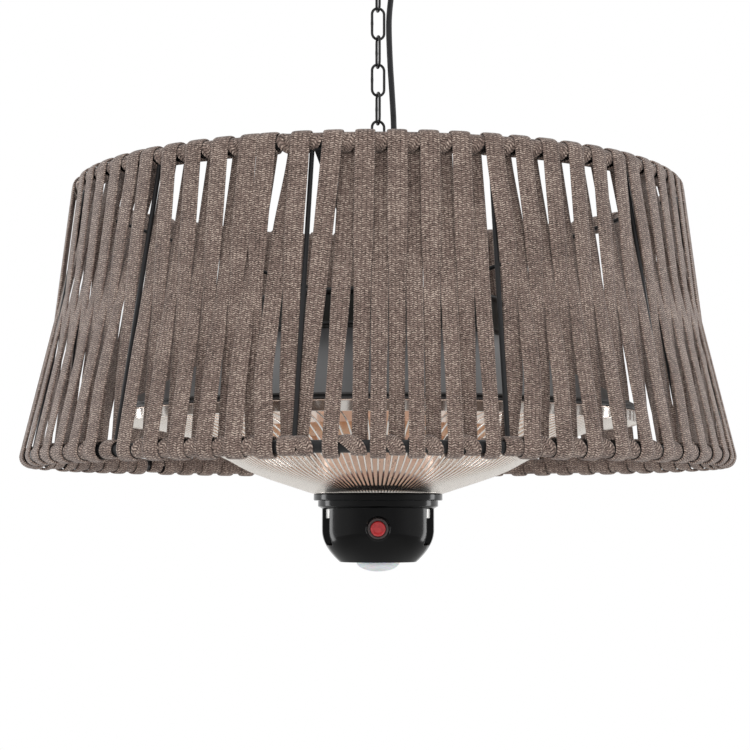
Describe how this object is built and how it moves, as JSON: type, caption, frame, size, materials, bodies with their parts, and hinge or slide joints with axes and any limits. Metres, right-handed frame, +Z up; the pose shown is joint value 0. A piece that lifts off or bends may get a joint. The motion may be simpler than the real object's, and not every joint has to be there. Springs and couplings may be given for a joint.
{
  "type": "hanging patio heater",
  "caption": "Electric patio heater hung on a chain: ring-shaped heating tube under a conical reflector, inside a round shade wound with fabric strap, with a push button and lamp below.",
  "frame": {"origin": "centre of the ceiling plate's top face, which rests flat on the ceiling; everything hangs below it", "axes": "+Z up along the chain, the front with the push button towards -Y, +X to the right seen from the front"},
  "size_m": [0.651, 0.651, 0.596],
  "materials": {
    "painted_black": "satin black powder coat",
    "chain_black": "satin black",
    "plain_steel": "plain steel",
    "cable_rubber": "matt black rubber",
    "woven_strap": "heathered taupe weave",
    "cap_paint": "dark satin",
    "hood_paint": "grey satin",
    "polished_steel": "polished",
    "amber_quartz": "amber quartz glass",
    "ceramic": "white unglazed ceramic",
    "gloss_black": "gloss black",
    "button_red": "gloss red",
    "lens_white": "opal white",
    "board_green": "green board",
    "terminal_white": "white"
  },
  "bodies": {
    "ceiling": {"ceiling_plate": "painted_black", "ceiling_screw_left": "plain_steel", "ceiling_screw_right": "plain_steel", "ceiling_hook": "painted_black", "ceiling_gland": "cable_rubber"},
    "chain": {"link_01": "chain_black", "link_02": "chain_black", "link_03": "chain_black", "link_04": "chain_black", "link_05": "chain_black", "link_06": "chain_black", "link_07": "chain_black", "link_08": "chain_black", "link_09": "chain_black", "link_10": "chain_black", "mains_cable_upper": "cable_rubber", "mains_cable_lower": "cable_rubber"},
    "heater": {"eyebolt": "painted_black", "eyebolt_nut": "plain_steel", "hub_plate": "painted_black", "spoke_front": "painted_black", "spoke_right": "painted_black", "spoke_back": "painted_black", "spoke_left": "painted_black", "shade_frame": "painted_black", "winding_01": "woven_strap", "winding_02": "woven_strap", "winding_03": "woven_strap", "winding_04": "woven_strap", "winding_05": "woven_strap", "winding_06": "woven_strap", "winding_07": "woven_strap", "winding_08": "woven_strap", "winding_09": "woven_strap", "winding_10": "woven_strap", "winding_11": "woven_strap", "winding_12": "woven_strap", "cap": "cap_paint", "cap_gland": "cable_rubber", "terminal_block": "terminal_white", "hood": "hood_paint", "reflector": "polished_steel", "column": "polished_steel", "heating_tube": "amber_quartz", "tube_end_left": "ceramic", "tube_end_right": "ceramic", "tube_clip_left": "plain_steel", "tube_clip_right": "plain_steel", "grille": "polished_steel", "control_flange": "gloss_black", "control_box": "gloss_black", "side_clip_left": "plain_steel", "side_clip_right": "plain_steel", "button_bezel": "gloss_black", "circuit_board": "board_green", "lamp_board": "board_green", "lamp_lens": "lens_white"},
    "button": {"push_button": "button_red"}
  },
  "joints": [
    {"name": "chain_swing", "type": "hinge", "parent": "ceiling", "child": "chain", "pos_m": [0, 0, -0.044], "axis": [1, 0, 0], "range_deg": [-30, 30], "deforming": ["mains_cable_upper"]},
    {"name": "heater_tilt", "type": "hinge", "parent": "chain", "child": "heater", "pos_m": [0, 0, -0.3087], "axis": [0, 1, 0], "range_deg": [-20, 20], "deforming": ["mains_cable_lower"]},
    {"name": "button_press", "type": "slide", "parent": "heater", "child": "button", "axis": [0, 1, 0], "range_m": [0, 0.0015], "stiffness_N_per_m": 800, "springref_m": -0.001}
  ]
}
